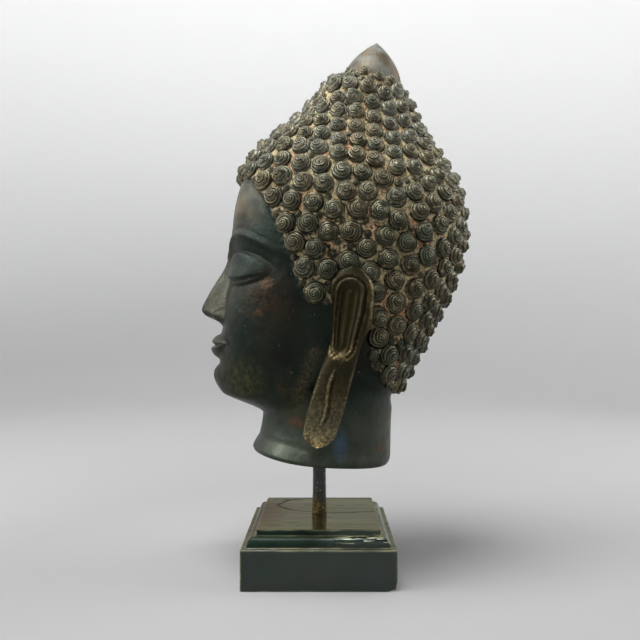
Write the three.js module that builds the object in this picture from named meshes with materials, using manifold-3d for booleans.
// A cast bronze Buddha head on a steel rod that stands in a moulded wooden plinth.
// Millimetres, +Z up. The face looks along -Y, and the origin is the centre of the plinth's underside.

import * as THREE from "three";
import { ConvexHull } from "three/addons/math/ConvexHull.js";
import { mergeVertices } from "three/addons/utils/BufferGeometryUtils.js";
import Module from "manifold-3d";

const wasm = await Module();
wasm.setup();

// Sizes of the plinth: a square block, a ledge, a quarter-round moulding, a narrow flat and a top plate.
const plinthWidth = 130;
const blockHeight = 34;
const ledgeWidth = 4.5;
const ovoloWidth = 6.5;
const ovoloHeight = 8.5;
const flatWidth = 1.5;
const plateRise = 4.5;
const edgeBevel = 0.8;

// Sizes of the rod and of its sockets in the plinth and in the neck.
const rodDiameter = 12;
const rodFootSwell = 0.8;
const rodFootTaper = 26;
const rodShown = 53;
const plinthSocketDepth = 24;
const headSocketDepth = 45;
const socketGap = 0.3;

// Sizes of the head. All its carving is set out in parts, the head's height being 384 parts.
const headHeight = 384;
const headTilt = 7.4;
const headSetBack = 2;
const part = headHeight / 384;

const curlPitch = 16;
const curlHeight = 7;
const curlFromHairline = 8;
const curlFromFinial = 12;
const scalpStep = 0.8;

// Small tools for curves

const clamp = THREE.MathUtils.clamp;
const radians = THREE.MathUtils.degToRad;

/** 0 below low, 1 above high, and a smooth step between. */
function step(low, high, value) {
  return THREE.MathUtils.smoothstep(value, low, high);
}

/** A bell that is 1 at distance 0 and about a third at one width. */
function bell(distance, width) {
  return Math.exp(-((distance / width) ** 2));
}

/** The smooth curve through stations [place, value, ...], read from the given column. */
function curve(stations, column = 1) {
  const n = stations.length;
  const slope = stations.map((_, i) => {
    const a = stations[Math.max(i - 1, 0)];
    const b = stations[Math.min(i + 1, n - 1)];
    return (b[column] - a[column]) / (b[0] - a[0]);
  });
  return (place) => {
    const at = clamp(place, stations[0][0], stations[n - 1][0]);
    let i = 0;
    while (i < n - 2 && at > stations[i + 1][0]) i++;
    const gap = stations[i + 1][0] - stations[i][0];
    const u = (at - stations[i][0]) / gap;
    const from = stations[i][column];
    const to = stations[i + 1][column];
    return (
      from * (1 + 2 * u) * (1 - u) ** 2 +
      to * u * u * (3 - 2 * u) +
      slope[i] * gap * u * (1 - u) ** 2 -
      slope[i + 1] * gap * u * u * (1 - u)
    );
  };
}

/** How far the point (y, z) is from the segment between two points. */
function fromSegment(y, z, [y0, z0], [y1, z1]) {
  const along = clamp(
    ((y - y0) * (y1 - y0) + (z - z0) * (z1 - z0)) / ((y1 - y0) ** 2 + (z1 - z0) ** 2),
    0,
    1,
  );
  return Math.hypot(y - y0 - along * (y1 - y0), z - z0 - along * (z1 - z0));
}

// The head's outlines, in parts, upright, from the centre of the neck's cut

// The skull and face without curls: height, front, back, half width, place of the greatest width.
const skull = [
  [28, -74, 56, 52, -4],
  [40, -90, 56, 55, -4],
  [50, -98, 55.5, 57.5, -3],
  [62, -101.5, 55.5, 60.5, -2],
  [80, -102, 62, 64.5, 0],
  [100, -102.5, 69.5, 68, 2],
  [130, -103, 80.5, 71.5, 4],
  [160, -104, 91.5, 73.5, 5],
  [190, -107, 98.5, 74.5, 5],
  [215, -107.5, 99.5, 74, 4],
  [236, -104.5, 96.5, 70.5, 3],
  [256, -97, 88.5, 63.5, 1],
  [274, -85, 76, 54.5, -1],
  [299, -60.5, 54.5, 43.5, -3],
  [322, -44.5, 39.5, 36, -3],
  [338, -33, 30.5, 30.5, -1],
  [350, -23, 23, 24, 1],
];
const skullFront = curve(skull, 1);
const skullBack = curve(skull, 2);
const skullWidth = curve(skull, 3);
const skullMiddle = curve(skull, 4);
const skullFullness = 2.2;
const skullTop = 350;

// The neck's radius by height: flared at its cut in front, and nearly straight at the back. The cut rises a
// little from front to back.
const neckRadius = curve([[0, 62.5], [3, 63.6], [14, 59.5], [26, 58.2], [44, 59], [64, 58.5]]);
const neckBackRadius = curve([[0, 60.8], [4, 62.2], [9, 62.4], [36, 59.6], [64, 57.5]]);
const cutRise = 2.6;
const cutRiseReach = 15;

// The jaw line's height by the angle from the front.
const jawLine = curve([[0, 40], [30, 42], [55, 50], [75, 62], [95, 76], [125, 72], [180, 56]]);
const jawSoftness = 7;

// The hairline in side view: in front of y -93 it runs level across the forehead.
const hairline = [
  [-115, 236],
  [-93, 236],
  [-80, 222],
  [-71, 208],
  [-60, 192],
  [-51, 176],
  [-41, 158],
  [-33, 140],
  [-24, 134.5],
  [20, 134.5],
  [25, 108],
  [30, 92],
  [38, 81],
  [50, 71],
  [66, 63],
];

// The finial: a blunt bud on the crown, whose seat slopes down to the back.
const finialRadius = 26.8;
const finialSeat = [1.6, 349.6];
const finialTop = 384;
const finialSlope = 0.125;
const finialSunk = 12;

// The ear: the middle of its length in side view, its half width and its outer face, by height.
const earTop = 168;
const earTip = 18.5;
const earSections = [
  [18, -7.5, 13],
  [29, -5.5, 13.3],
  [48, -2.9, 14.3],
  [78, 1.6, 13.8],
  [106, 6.9, 12.9],
  [125, 9.3, 15.9],
  [152, 5.3, 18.3],
  [168, 3, 18.3],
];
const earMiddle = curve(earSections, 1);
const earHalfWidth = curve(earSections, 2);
const earOuter = curve([[18, 70], [60, 74.5], [95, 80], [120, 83], [150, 85], [168, 83]]);
const earThickness = curve([[18, 7.5], [60, 10], [80, 20], [100, 26], [168, 25]]);
const earRearFlare = 3;
const earTipRound = 13;
const hollowTop = [4, 147];
const hollowFoot = [3.2, 105];
const slitTop = 84;
const slitFoot = 40;

// The carving of the face, in parts

const browLine = curve([[0, 171], [8, 175], [20, 183], [34, 186.5], [50, 183], [64, 173]]);
const browEnd = 70;
const eyeCentre = [33, 158];
const lidLine = curve([[8, 153.5], [18, 150.5], [33, 149], [46, 150.5], [58, 155]]);
const noseRidge = curve([
  [106, 0],
  [110, 7],
  [114, 19],
  [119, 23.5],
  [130, 20.5],
  [146, 14],
  [160, 8.5],
  [172, 4.5],
  [186, 1],
  [196, 0],
]);
const noseHalfWidth = curve([[106, 12], [119, 11], [135, 8.5], [160, 7.5], [180, 12], [196, 18]]);
const mouthHalfWidth = 27;
const mouthLine = curve([[0, 89], [8, 88], [18, 88.5], [27, 92]]);
const upperLip = curve([[0, 96.5], [5, 98.5], [14, 96.5], [27, 92]]);
const lowerLip = curve([[0, 77], [10, 78], [20, 83.5], [27, 92]]);
const lipFullness = 7;

/** The nose: a ridge whose height follows noseRidge, with a wing on each side. */
function nose(x, z) {
  const ridge = noseRidge(z) * Math.exp(-(Math.abs(x / noseHalfWidth(z)) ** 2.6));
  const wing = 11 * bell(x - 13.5, 6.5) * bell(z - 115.5, 7) * step(104, 111, z);
  return Math.max(ridge, wing) + 0.25 * Math.min(ridge, wing);
}

/** The brow's arched edge, the socket under it, and the lowered lid over the eyeball. */
function eye(x, z) {
  const underBrow = browLine(Math.min(x, browEnd)) - z;
  const reach = 1 - step(52, browEnd, x);
  const edge = 2 * bell(underBrow + 1, 4) * reach * step(4, 14, x);
  const socket = 8 * bell(x - eyeCentre[0], 27) * bell(z - 161, 14) * step(-1, 5, underBrow);
  const inside = 1 - ((x - eyeCentre[0]) / 26) ** 2 - ((z - eyeCentre[1]) / 15) ** 2;
  const ball = 9.5 * Math.sqrt(Math.max(inside, 0));
  const underLid = 2.2 * step(0, 2.5, lidLine(x) - z) * Math.min(1, Math.max(inside, 0) * 3);
  return edge - socket + ball - underLid;
}

/** The two lips, full in the middle and thinning to the corners, and the groove above them. */
function mouth(x, z) {
  const across = Math.max(0, 1 - (x / mouthHalfWidth) ** 2);
  const seam = mouthLine(x);
  const [far, sign] = z > seam ? [upperLip(x), 1] : [lowerLip(x), -1];
  const share = clamp(((z - seam) * sign) / Math.max((far - seam) * sign, 0.1), 0, 1);
  const roll = Math.sqrt(Math.max(0, 1 - share ** 2)) * (0.45 + 0.55 * step(0, 0.3, share));
  const lips = lipFullness * Math.sqrt(across) * roll;
  const muzzle = 4.5 * bell(x, 26) * bell(z - 88, 19);
  const philtrum = 1.6 * bell(x, 3.4) * step(97, 101, z) * (1 - step(104, 109, z));
  const corner = 2.6 * bell(x - 29.5, 5) * bell(z - 91, 6);
  return lips + muzzle - philtrum - corner;
}

/** How far the face stands proud of the plain skull at x across and z up. */
function faceRelief(x, z) {
  const side = Math.abs(x);
  const chin = 6 * bell(side, 20) * bell(z - 60, 13);
  const underLip = 3.2 * bell(side, 17) * bell(z - 73.5, 4.5);
  const cheek = 3.5 * bell(side - 40, 20) * bell(z - 116, 26);
  return nose(side, z) + eye(side, z) + mouth(side, z) + chin - underLip + cheek;
}

// The head's surface: angle from the front in radians, and height in parts

/** The neck and the skull at one height, joined along the jaw line, with the face carved on the front. */
function skinPoint(angle, z) {
  const s = Math.sin(angle);
  const c = Math.cos(angle);
  const depth = c > 0 ? skullMiddle(z) - skullFront(z) : skullBack(z) - skullMiddle(z);
  const reach =
    (Math.abs(s / skullWidth(z)) ** skullFullness + Math.abs(c / depth) ** skullFullness) **
    (-1 / skullFullness);
  const jaw = jawLine(Math.abs(THREE.MathUtils.radToDeg(angle)));
  const above = step(jaw - jawSoftness, jaw + jawSoftness, z);
  const neck = THREE.MathUtils.lerp(neckRadius(z), neckBackRadius(z), step(0, 1, -c));
  const x = THREE.MathUtils.lerp(neck * s, reach * s, above);
  const y = THREE.MathUtils.lerp(-neck * c, skullMiddle(z) - reach * c, above);
  const forward = step(0.1, 0.45, c) * above * (1 - step(204, 230, z));
  const lift = cutRise * step(-35, 30, y) * Math.max(0, 1 - z / cutRiseReach);
  return new THREE.Vector3(x, y - forward * faceRelief(x, z), z + lift);
}

/** The unit normal of the skin, from its slopes along the angle and the height. */
function skinNormal(angle, z) {
  const around = skinPoint(angle + 0.02, z).sub(skinPoint(angle - 0.02, z));
  const up = skinPoint(angle, z + 1.5).sub(skinPoint(angle, z - 1.5));
  return around.cross(up).normalize();
}

/** How far the side-view point (y, z) lies above the hairline, and negative below it. */
function aboveHairline(y, z) {
  let nearest = Infinity;
  for (let i = 1; i < hairline.length; i++) {
    nearest = Math.min(nearest, fromSegment(y, z, hairline[i - 1], hairline[i]));
  }
  let i = 1;
  while (i < hairline.length - 1 && y > hairline[i][0]) i++;
  const [y0, z0] = hairline[i - 1];
  const [y1, z1] = hairline[i];
  const level = z0 + ((z1 - z0) * clamp(y - y0, 0, y1 - y0)) / (y1 - y0);
  return z > level ? nearest : -nearest;
}

/** How far a point lies outside the ear's outline in side view. */
function outsideEar(point) {
  if (Math.abs(point.x) < 35) return Infinity;
  const spineTop = [earMiddle(earTop), earTop - earHalfWidth(earTop)];
  const spineFoot = [earMiddle(95), 95];
  return fromSegment(point.y, point.z, spineTop, spineFoot) - earHalfWidth(120);
}

// The curls, set out in rows that start along the hairline

/**
 * Takes points one after the other, the one with the least rank first, and drops every point nearer to it
 * than the pitch, so rows form along the hairline and close up like laid balls.
 */
function setOut(points, pitch) {
  const waiting = points.slice().sort((a, b) => a.rank - b.rank);
  const taken = [];
  for (const one of waiting) {
    if (taken.every((t) => t.place.distanceToSquared(one.place) >= pitch * pitch)) taken.push(one);
  }
  return taken;
}

/** Where a curl may stand: on the hair, clear of the hairline, of the ears and of the finial. */
function curlSeats() {
  const seats = [];
  const heightStep = 2;
  const angleSteps = 180;
  for (let z = 64; z < skullTop; z += heightStep) {
    for (let j = 0; j < angleSteps; j++) {
      const angle = -Math.PI + (j * 2 * Math.PI) / angleSteps;
      const place = skinPoint(angle, z);
      const above = aboveHairline(place.y, place.z);
      const seat = finialSeat[1] - finialSlope * (place.y - finialSeat[0]) - curlFromFinial;
      if (above < curlFromHairline || outsideEar(place) < curlFromHairline - 1 || z > seat) continue;
      const rank = above + 1.5 * Math.abs(angle) + 1e-3 * place.x;
      seats.push({ angle, z, place, rank });
    }
  }
  return setOut(seats, curlPitch);
}

// The head as one closed mesh, joined up over a sphere so that rows of any number of points meet

/** A table of running lengths turned into a function: the length up to a place, read between its steps. */
function runningLength(steps, reach, lengthOf) {
  const lengths = [0];
  for (let i = 1; i <= steps; i++) {
    lengths.push(lengths[i - 1] + lengthOf(((i - 1) * reach) / steps, (i * reach) / steps));
  }
  return (place) => {
    const at = clamp((place / reach) * steps, 0, steps);
    const i = Math.min(Math.floor(at), steps - 1);
    return lengths[i] + (at - i) * (lengths[i + 1] - lengths[i]);
  };
}

/** The mean half breadth of the head at one height. */
function meanRadius(z) {
  return z < 44 ? neckRadius(z) : (skullWidth(z) + (skullBack(z) - skullFront(z)) / 2) / 2;
}

// The sphere's east follows the length round a section above the brow, and its north the length up the head
// measured in radii, so that shapes on the sphere stay true.
const plainSection = 232;
const roundLength = runningLength(360, Math.PI, (from, to) =>
  skinPoint(from, plainSection).distanceTo(skinPoint(to, plainSection)),
);
const upLength = runningLength(180, skullTop + 1, (from, to) =>
  Math.hypot(to - from, meanRadius(to) - meanRadius(from)) / meanRadius(to),
);
const equator = upLength(170);

/** A surface point with its place on the sphere. The tiny shift keeps four points off one circle. */
function onSphere(angle, z, place, kind) {
  const shift = 1e-4;
  const share = roundLength(Math.abs(angle)) / roundLength(Math.PI);
  const east = Math.PI * share * Math.sign(angle) + shift * Math.sin(53 * angle + 17 * z);
  const plain = 2 * Math.atan(Math.exp(upLength(z) - equator)) - Math.PI / 2;
  const north = plain + shift * Math.cos(plain) * Math.sin(37 * angle + 11 * z);
  const sphere = new THREE.Vector3(
    Math.cos(north) * Math.sin(east),
    -Math.cos(north) * Math.cos(east),
    Math.sin(north),
  );
  return { place, kind, sphere };
}

/** The triangles that join the points over the sphere: the faces of their convex hull. */
function joinOver(points) {
  const index = new Map(points.map((p, i) => [p.sphere, i]));
  const hull = new ConvexHull().setFromPoints(points.map((p) => p.sphere));
  return hull.faces.map((face) => {
    const corners = [];
    let edge = face.edge;
    do {
      corners.push(index.get(edge.head().point));
      edge = edge.next;
    } while (edge !== face.edge);
    return corners;
  });
}

/** Rows and columns over the face, the neck and the skin behind the ears, closer where there is carving. */
function skinPoints() {
  const neckRows = [0, 3, 9, 15, 22, 29];
  const chinRows = [34, 37, 40, 43, 46, 50, 54, 59, 65, 70];
  const mouthRows = [74, 78, 82, 86, 88.5, 91, 94, 97, 100, 104, 107, 110, 113];
  const eyeRows = [117, 121, 127, 133, 139, 144, 148, 151, 154, 158, 162, 166, 170, 174, 178, 182, 186];
  const browRows = [191, 198, 206, 215, 224, 231];
  const rows = [...neckRows, ...chinRows, ...mouthRows, ...eyeRows, ...browRows];
  const fineStep = 3.2;
  const sideStep = 5.5;
  const backStep = 12;
  const columns = [0];
  for (let side = fineStep; side < 180; ) {
    columns.push(side, -side);
    side += side < 38 ? fineStep : side < 75 ? sideStep : backStep;
  }
  columns.push(180);
  const points = [];
  rows.forEach((z, row) => {
    columns.forEach((degrees) => {
      const off = Math.abs(degrees);
      const onNeck = z < 32;
      const alongside = off > 38;
      if (onNeck && !alongside && Math.round(off / fineStep) % 3 !== 0) return;
      if (!onNeck && alongside && row % 2 === 1) return;
      const angle = radians(degrees);
      const place = skinPoint(angle, z);
      if (aboveHairline(place.y, place.z) < -3.5) points.push(onSphere(angle, z, place, "skin"));
    });
  });
  return points;
}

/** The edge of the hair: points along the hairline, set out like the curls but closer. */
function hairEdge() {
  const near = [];
  for (let z = 62; z < 242; z += 1) {
    for (let degrees = -180; degrees < 180; degrees += 1) {
      const angle = radians(degrees);
      const place = skinPoint(angle, z);
      const off = Math.abs(aboveHairline(place.y, place.z));
      if (off < 1.2) near.push({ angle, z, place, rank: Math.abs(degrees) });
    }
  }
  return setOut(near, curlPitch / 2).map((p) => onSphere(p.angle, p.z, p.place, "edge"));
}

/** A ring of points under the finial, where no curls stand. */
function crownPoints() {
  const count = 12;
  const z = skullTop - 2;
  return Array.from({ length: count }, (_, j) => {
    const angle = ((j + 0.5 - count / 2) * 2 * Math.PI) / count;
    return onSphere(angle, z, skinPoint(angle, z), "crown");
  });
}

function headMesh() {
  const curls = curlSeats().map((seat) => {
    const normal = skinNormal(seat.angle, seat.z);
    const base = seat.place.clone().addScaledVector(normal, scalpStep);
    return { ...onSphere(seat.angle, seat.z, base, "curl"), normal };
  });
  const middle = new THREE.Vector3(0, 0, cutRise / 2);
  const bottom = { place: middle, kind: "pole", sphere: new THREE.Vector3(0, 0, -1) };
  const top = {
    place: new THREE.Vector3(0, finialSeat[0], skullTop + 1),
    kind: "pole",
    sphere: new THREE.Vector3(0, 0, 1),
  };
  const rest = [
    ...skinPoints(),
    ...hairEdge(),
    ...crownPoints(),
    top,
    bottom,
  ];

  // A valley lies between every three curls that meet, unless it would cut into one of them.
  const meeting = [...curls, ...rest];
  const valleys = [];
  for (const corners of joinOver(meeting)) {
    const three = corners.map((i) => meeting[i]);
    if (three.filter((p) => p.kind === "curl").length < 2) continue;
    const place = new THREE.Vector3();
    const sphere = new THREE.Vector3();
    three.forEach((p) => {
      place.addScaledVector(p.place, 1 / 3);
      sphere.add(p.sphere);
    });
    if (three.some((p) => p.kind === "curl" && p.place.distanceTo(place) < curlPitch * 0.42)) continue;
    valleys.push({ place, kind: "valley", sphere: sphere.normalize() });
  }

  const tops = curls.map((curl) => {
    const place = curl.place.clone().addScaledVector(curl.normal, curlHeight);
    return { ...curl, place };
  });
  const all = [...tops, ...valleys, ...rest];
  const geometry = new THREE.BufferGeometry();
  const flat = all.flatMap((p) => p.place.toArray());
  geometry.setAttribute("position", new THREE.Float32BufferAttribute(flat, 3));
  geometry.setIndex(joinOver(all).flat());
  return geometry;
}

/** The finial as a turned bud, deep enough below its seat to stand in the crown. */
function finialMesh() {
  const rise = finialTop - finialSeat[1];
  const rings = 7;
  const profile = [new THREE.Vector2(0, finialSeat[1] - finialSunk)];
  profile.push(new THREE.Vector2(finialRadius * 0.9, finialSeat[1] - finialSunk));
  for (let i = 0; i < rings; i++) {
    const up = i / rings;
    profile.push(new THREE.Vector2(finialRadius * (1 - up * up), finialSeat[1] + rise * up));
  }
  profile.push(new THREE.Vector2(0, finialTop));
  const bud = new THREE.LatheGeometry(profile, 20).rotateX(Math.PI / 2);
  return bud.translate(0, finialSeat[0], 0);
}

// The ears

/** How far the ear's outer face rises or sinks: the hollow, its lip, a groove and the lobe's slit. */
function earRelief(y, z) {
  const fromHollow = fromSegment(y, z, hollowTop, hollowFoot);
  const hollow = 6.5 * (1 - step(4.5, 8, fromHollow));
  const lip = 1.5 * bell(fromHollow - 9, 2);
  const groove = 2.5 * bell(fromHollow - 12.5, 1.8) * step(112, 126, z);
  const ends = step(slitFoot - 6, slitFoot + 4, z) * (1 - step(slitTop - 8, slitTop, z));
  const slit = 2.5 * bell(y - earMiddle(z), 2) * ends;
  return lip - hollow - groove - slit;
}

/** One ear as a closed loft of level sections. The left ear stands at +X. */
function earMesh(side) {
  const rings = 32;
  const outside = 15;
  const inside = 5;
  const turns = [];
  for (let j = 0; j < outside; j++) turns.push((Math.PI * (j + 0.5)) / outside);
  for (let j = 0; j < inside; j++) turns.push(Math.PI + (Math.PI * (j + 0.5)) / inside);
  const around = turns.length;
  const places = [];
  for (let i = 1; i < rings; i++) {
    const z = (earTop + earTip) / 2 + ((earTop - earTip) / 2) * Math.cos((Math.PI * i) / rings);
    const topRound = earHalfWidth(earTop);
    const top = Math.sqrt(1 - clamp((z - (earTop - topRound)) / topRound, 0, 1) ** 2);
    const tip = Math.sqrt(1 - clamp((earTip + earTipRound - z) / earTipRound, 0, 1) ** 2);
    const half = earHalfWidth(z) * Math.max(top * tip, 0.05);
    const thick = earThickness(z);
    for (const turn of turns) {
      const across = -Math.cos(turn);
      const face = Math.sin(turn);
      const y = earMiddle(z) + half * across;
      const bulge = (thick / 2) * Math.sign(face) * Math.abs(face) ** 0.5;
      const relief = face > 0 ? earRelief(y, z) * Math.min(1, top * tip * 1.4) : 0;
      places.push(side * (earOuter(z) - thick / 2 + bulge + relief + earRearFlare * across), y, z);
    }
  }
  const topX = earOuter(earTop) - earThickness(earTop) / 2;
  const tipX = earOuter(earTip) - earThickness(earTip) / 2;
  const topPole = places.length / 3;
  places.push(side * topX, earMiddle(earTop), earTop, side * tipX, earMiddle(earTip), earTip);
  const faces = [];
  for (let i = 0; i < rings - 2; i++) {
    for (let j = 0; j < around; j++) {
      const a = i * around + j;
      const b = i * around + ((j + 1) % around);
      faces.push(a, a + around, b, b, a + around, b + around);
    }
  }
  const last = (rings - 2) * around;
  for (let j = 0; j < around; j++) {
    const next = (j + 1) % around;
    faces.push(topPole, j, next, topPole + 1, last + next, last + j);
  }
  if (side < 0) faces.reverse();
  const geometry = new THREE.BufferGeometry();
  geometry.setAttribute("position", new THREE.Float32BufferAttribute(places, 3));
  geometry.setIndex(faces);
  return geometry;
}

// Joining and cutting

function solidOf(geometry) {
  const bare = geometry.clone();
  bare.deleteAttribute("normal");
  bare.deleteAttribute("uv");
  const merged = mergeVertices(bare, 1e-4);
  return new wasm.Manifold(
    new wasm.Mesh({
      numProp: 3,
      vertProperties: new Float32Array(merged.attributes.position.array),
      triVerts: new Uint32Array(merged.index.array),
    }),
  );
}

function geometryOf(solid) {
  const mesh = solid.getMesh();
  const geometry = new THREE.BufferGeometry();
  geometry.setAttribute("position", new THREE.BufferAttribute(mesh.vertProperties, 3));
  geometry.setIndex(new THREE.BufferAttribute(mesh.triVerts, 1));
  return geometry.toNonIndexed();
}

// Heights that the pieces share
const plinthTop = blockHeight + ovoloHeight + plateRise;
const neckCut = plinthTop + rodShown;

/** The hole that a rod of the given radius needs, from one height to another, with its clearance. */
function socket(radius, from, to) {
  const hole = new THREE.CylinderGeometry(radius + socketGap, radius + socketGap, to - from, 24);
  return hole.rotateX(Math.PI / 2).translate(0, 0, (from + to) / 2);
}

function makeHead() {
  const tilted = new THREE.Group();
  tilted.position.set(0, headSetBack, neckCut);
  tilted.rotation.x = -radians(headTilt);
  tilted.updateMatrix();
  let solid = solidOf(headMesh());
  for (const piece of [finialMesh(), earMesh(1), earMesh(-1)]) solid = solid.add(solidOf(piece));
  const geometry = geometryOf(solid).scale(part, part, part);
  const hole = socket(rodDiameter / 2, neckCut - rodShown / 2, neckCut + headSocketDepth + socketGap);
  hole.applyMatrix4(tilted.matrix.clone().invert());
  const bored = geometryOf(solidOf(geometry).subtract(solidOf(hole)));
  const bronze = new THREE.MeshStandardMaterial({ color: 0x3d3a2a, roughness: 0.38, metalness: 0.85 });
  const head = new THREE.Mesh(bored, bronze);
  head.name = "head";
  tilted.add(head);
  return tilted;
}

/** The rod as a turned bar that thickens to its foot, from the plinth's socket up into the neck's. */
function makeRod() {
  const low = plinthTop - plinthSocketDepth;
  const high = neckCut + headSocketDepth;
  const profile = [
    [0, low],
    [rodDiameter / 2, low],
    [rodDiameter / 2, plinthTop + socketGap],
    [rodDiameter / 2 + rodFootSwell, plinthTop + socketGap],
    [rodDiameter / 2 + rodFootSwell / 2, plinthTop + rodFootTaper / 2],
    [rodDiameter / 2, plinthTop + rodFootTaper],
    [rodDiameter / 2, high],
    [0, high],
  ].map(([radius, height]) => new THREE.Vector2(radius, height));
  const geometry = new THREE.LatheGeometry(profile, 20).rotateX(Math.PI / 2);
  const paint = new THREE.MeshStandardMaterial({ color: 0x23241f, roughness: 0.45, metalness: 0.4 });
  const rod = new THREE.Mesh(geometry, paint);
  rod.name = "rod";
  return rod;
}

/** The plinth: its moulded profile carried round a square, with the rod's socket in the middle. */
function makePlinth() {
  const half = plinthWidth / 2;
  const mouldingFoot = half - ledgeWidth;
  const mouldingTop = mouldingFoot - ovoloWidth;
  const plate = mouldingTop - flatWidth;
  const profile = [[0, 0], [half - edgeBevel, 0], [half, edgeBevel], [half, blockHeight - edgeBevel]];
  profile.push([half - edgeBevel, blockHeight]);
  const arcSteps = 6;
  for (let i = 0; i <= arcSteps; i++) {
    const turn = (i * Math.PI) / 2 / arcSteps;
    profile.push([mouldingTop + ovoloWidth * Math.cos(turn), blockHeight + ovoloHeight * Math.sin(turn)]);
  }
  profile.push([plate, blockHeight + ovoloHeight], [plate, plinthTop - edgeBevel]);
  profile.push([plate - edgeBevel, plinthTop], [0, plinthTop]);
  const corners = profile.map(([reach, height]) => new THREE.Vector2(reach * Math.SQRT2, height));
  const body = new THREE.LatheGeometry(corners, 4, Math.PI / 4).rotateX(Math.PI / 2);
  const hole = socket(rodDiameter / 2, plinthTop - plinthSocketDepth - socketGap, plinthTop + 1);
  const lacquer = new THREE.MeshStandardMaterial({ color: 0x17201c, roughness: 0.25, metalness: 0 });
  const plinth = new THREE.Mesh(geometryOf(solidOf(body).subtract(solidOf(hole))), lacquer);
  plinth.name = "plinth";
  return plinth;
}

const statue = new THREE.Group();
statue.add(makePlinth(), makeRod(), makeHead());

export default statue;
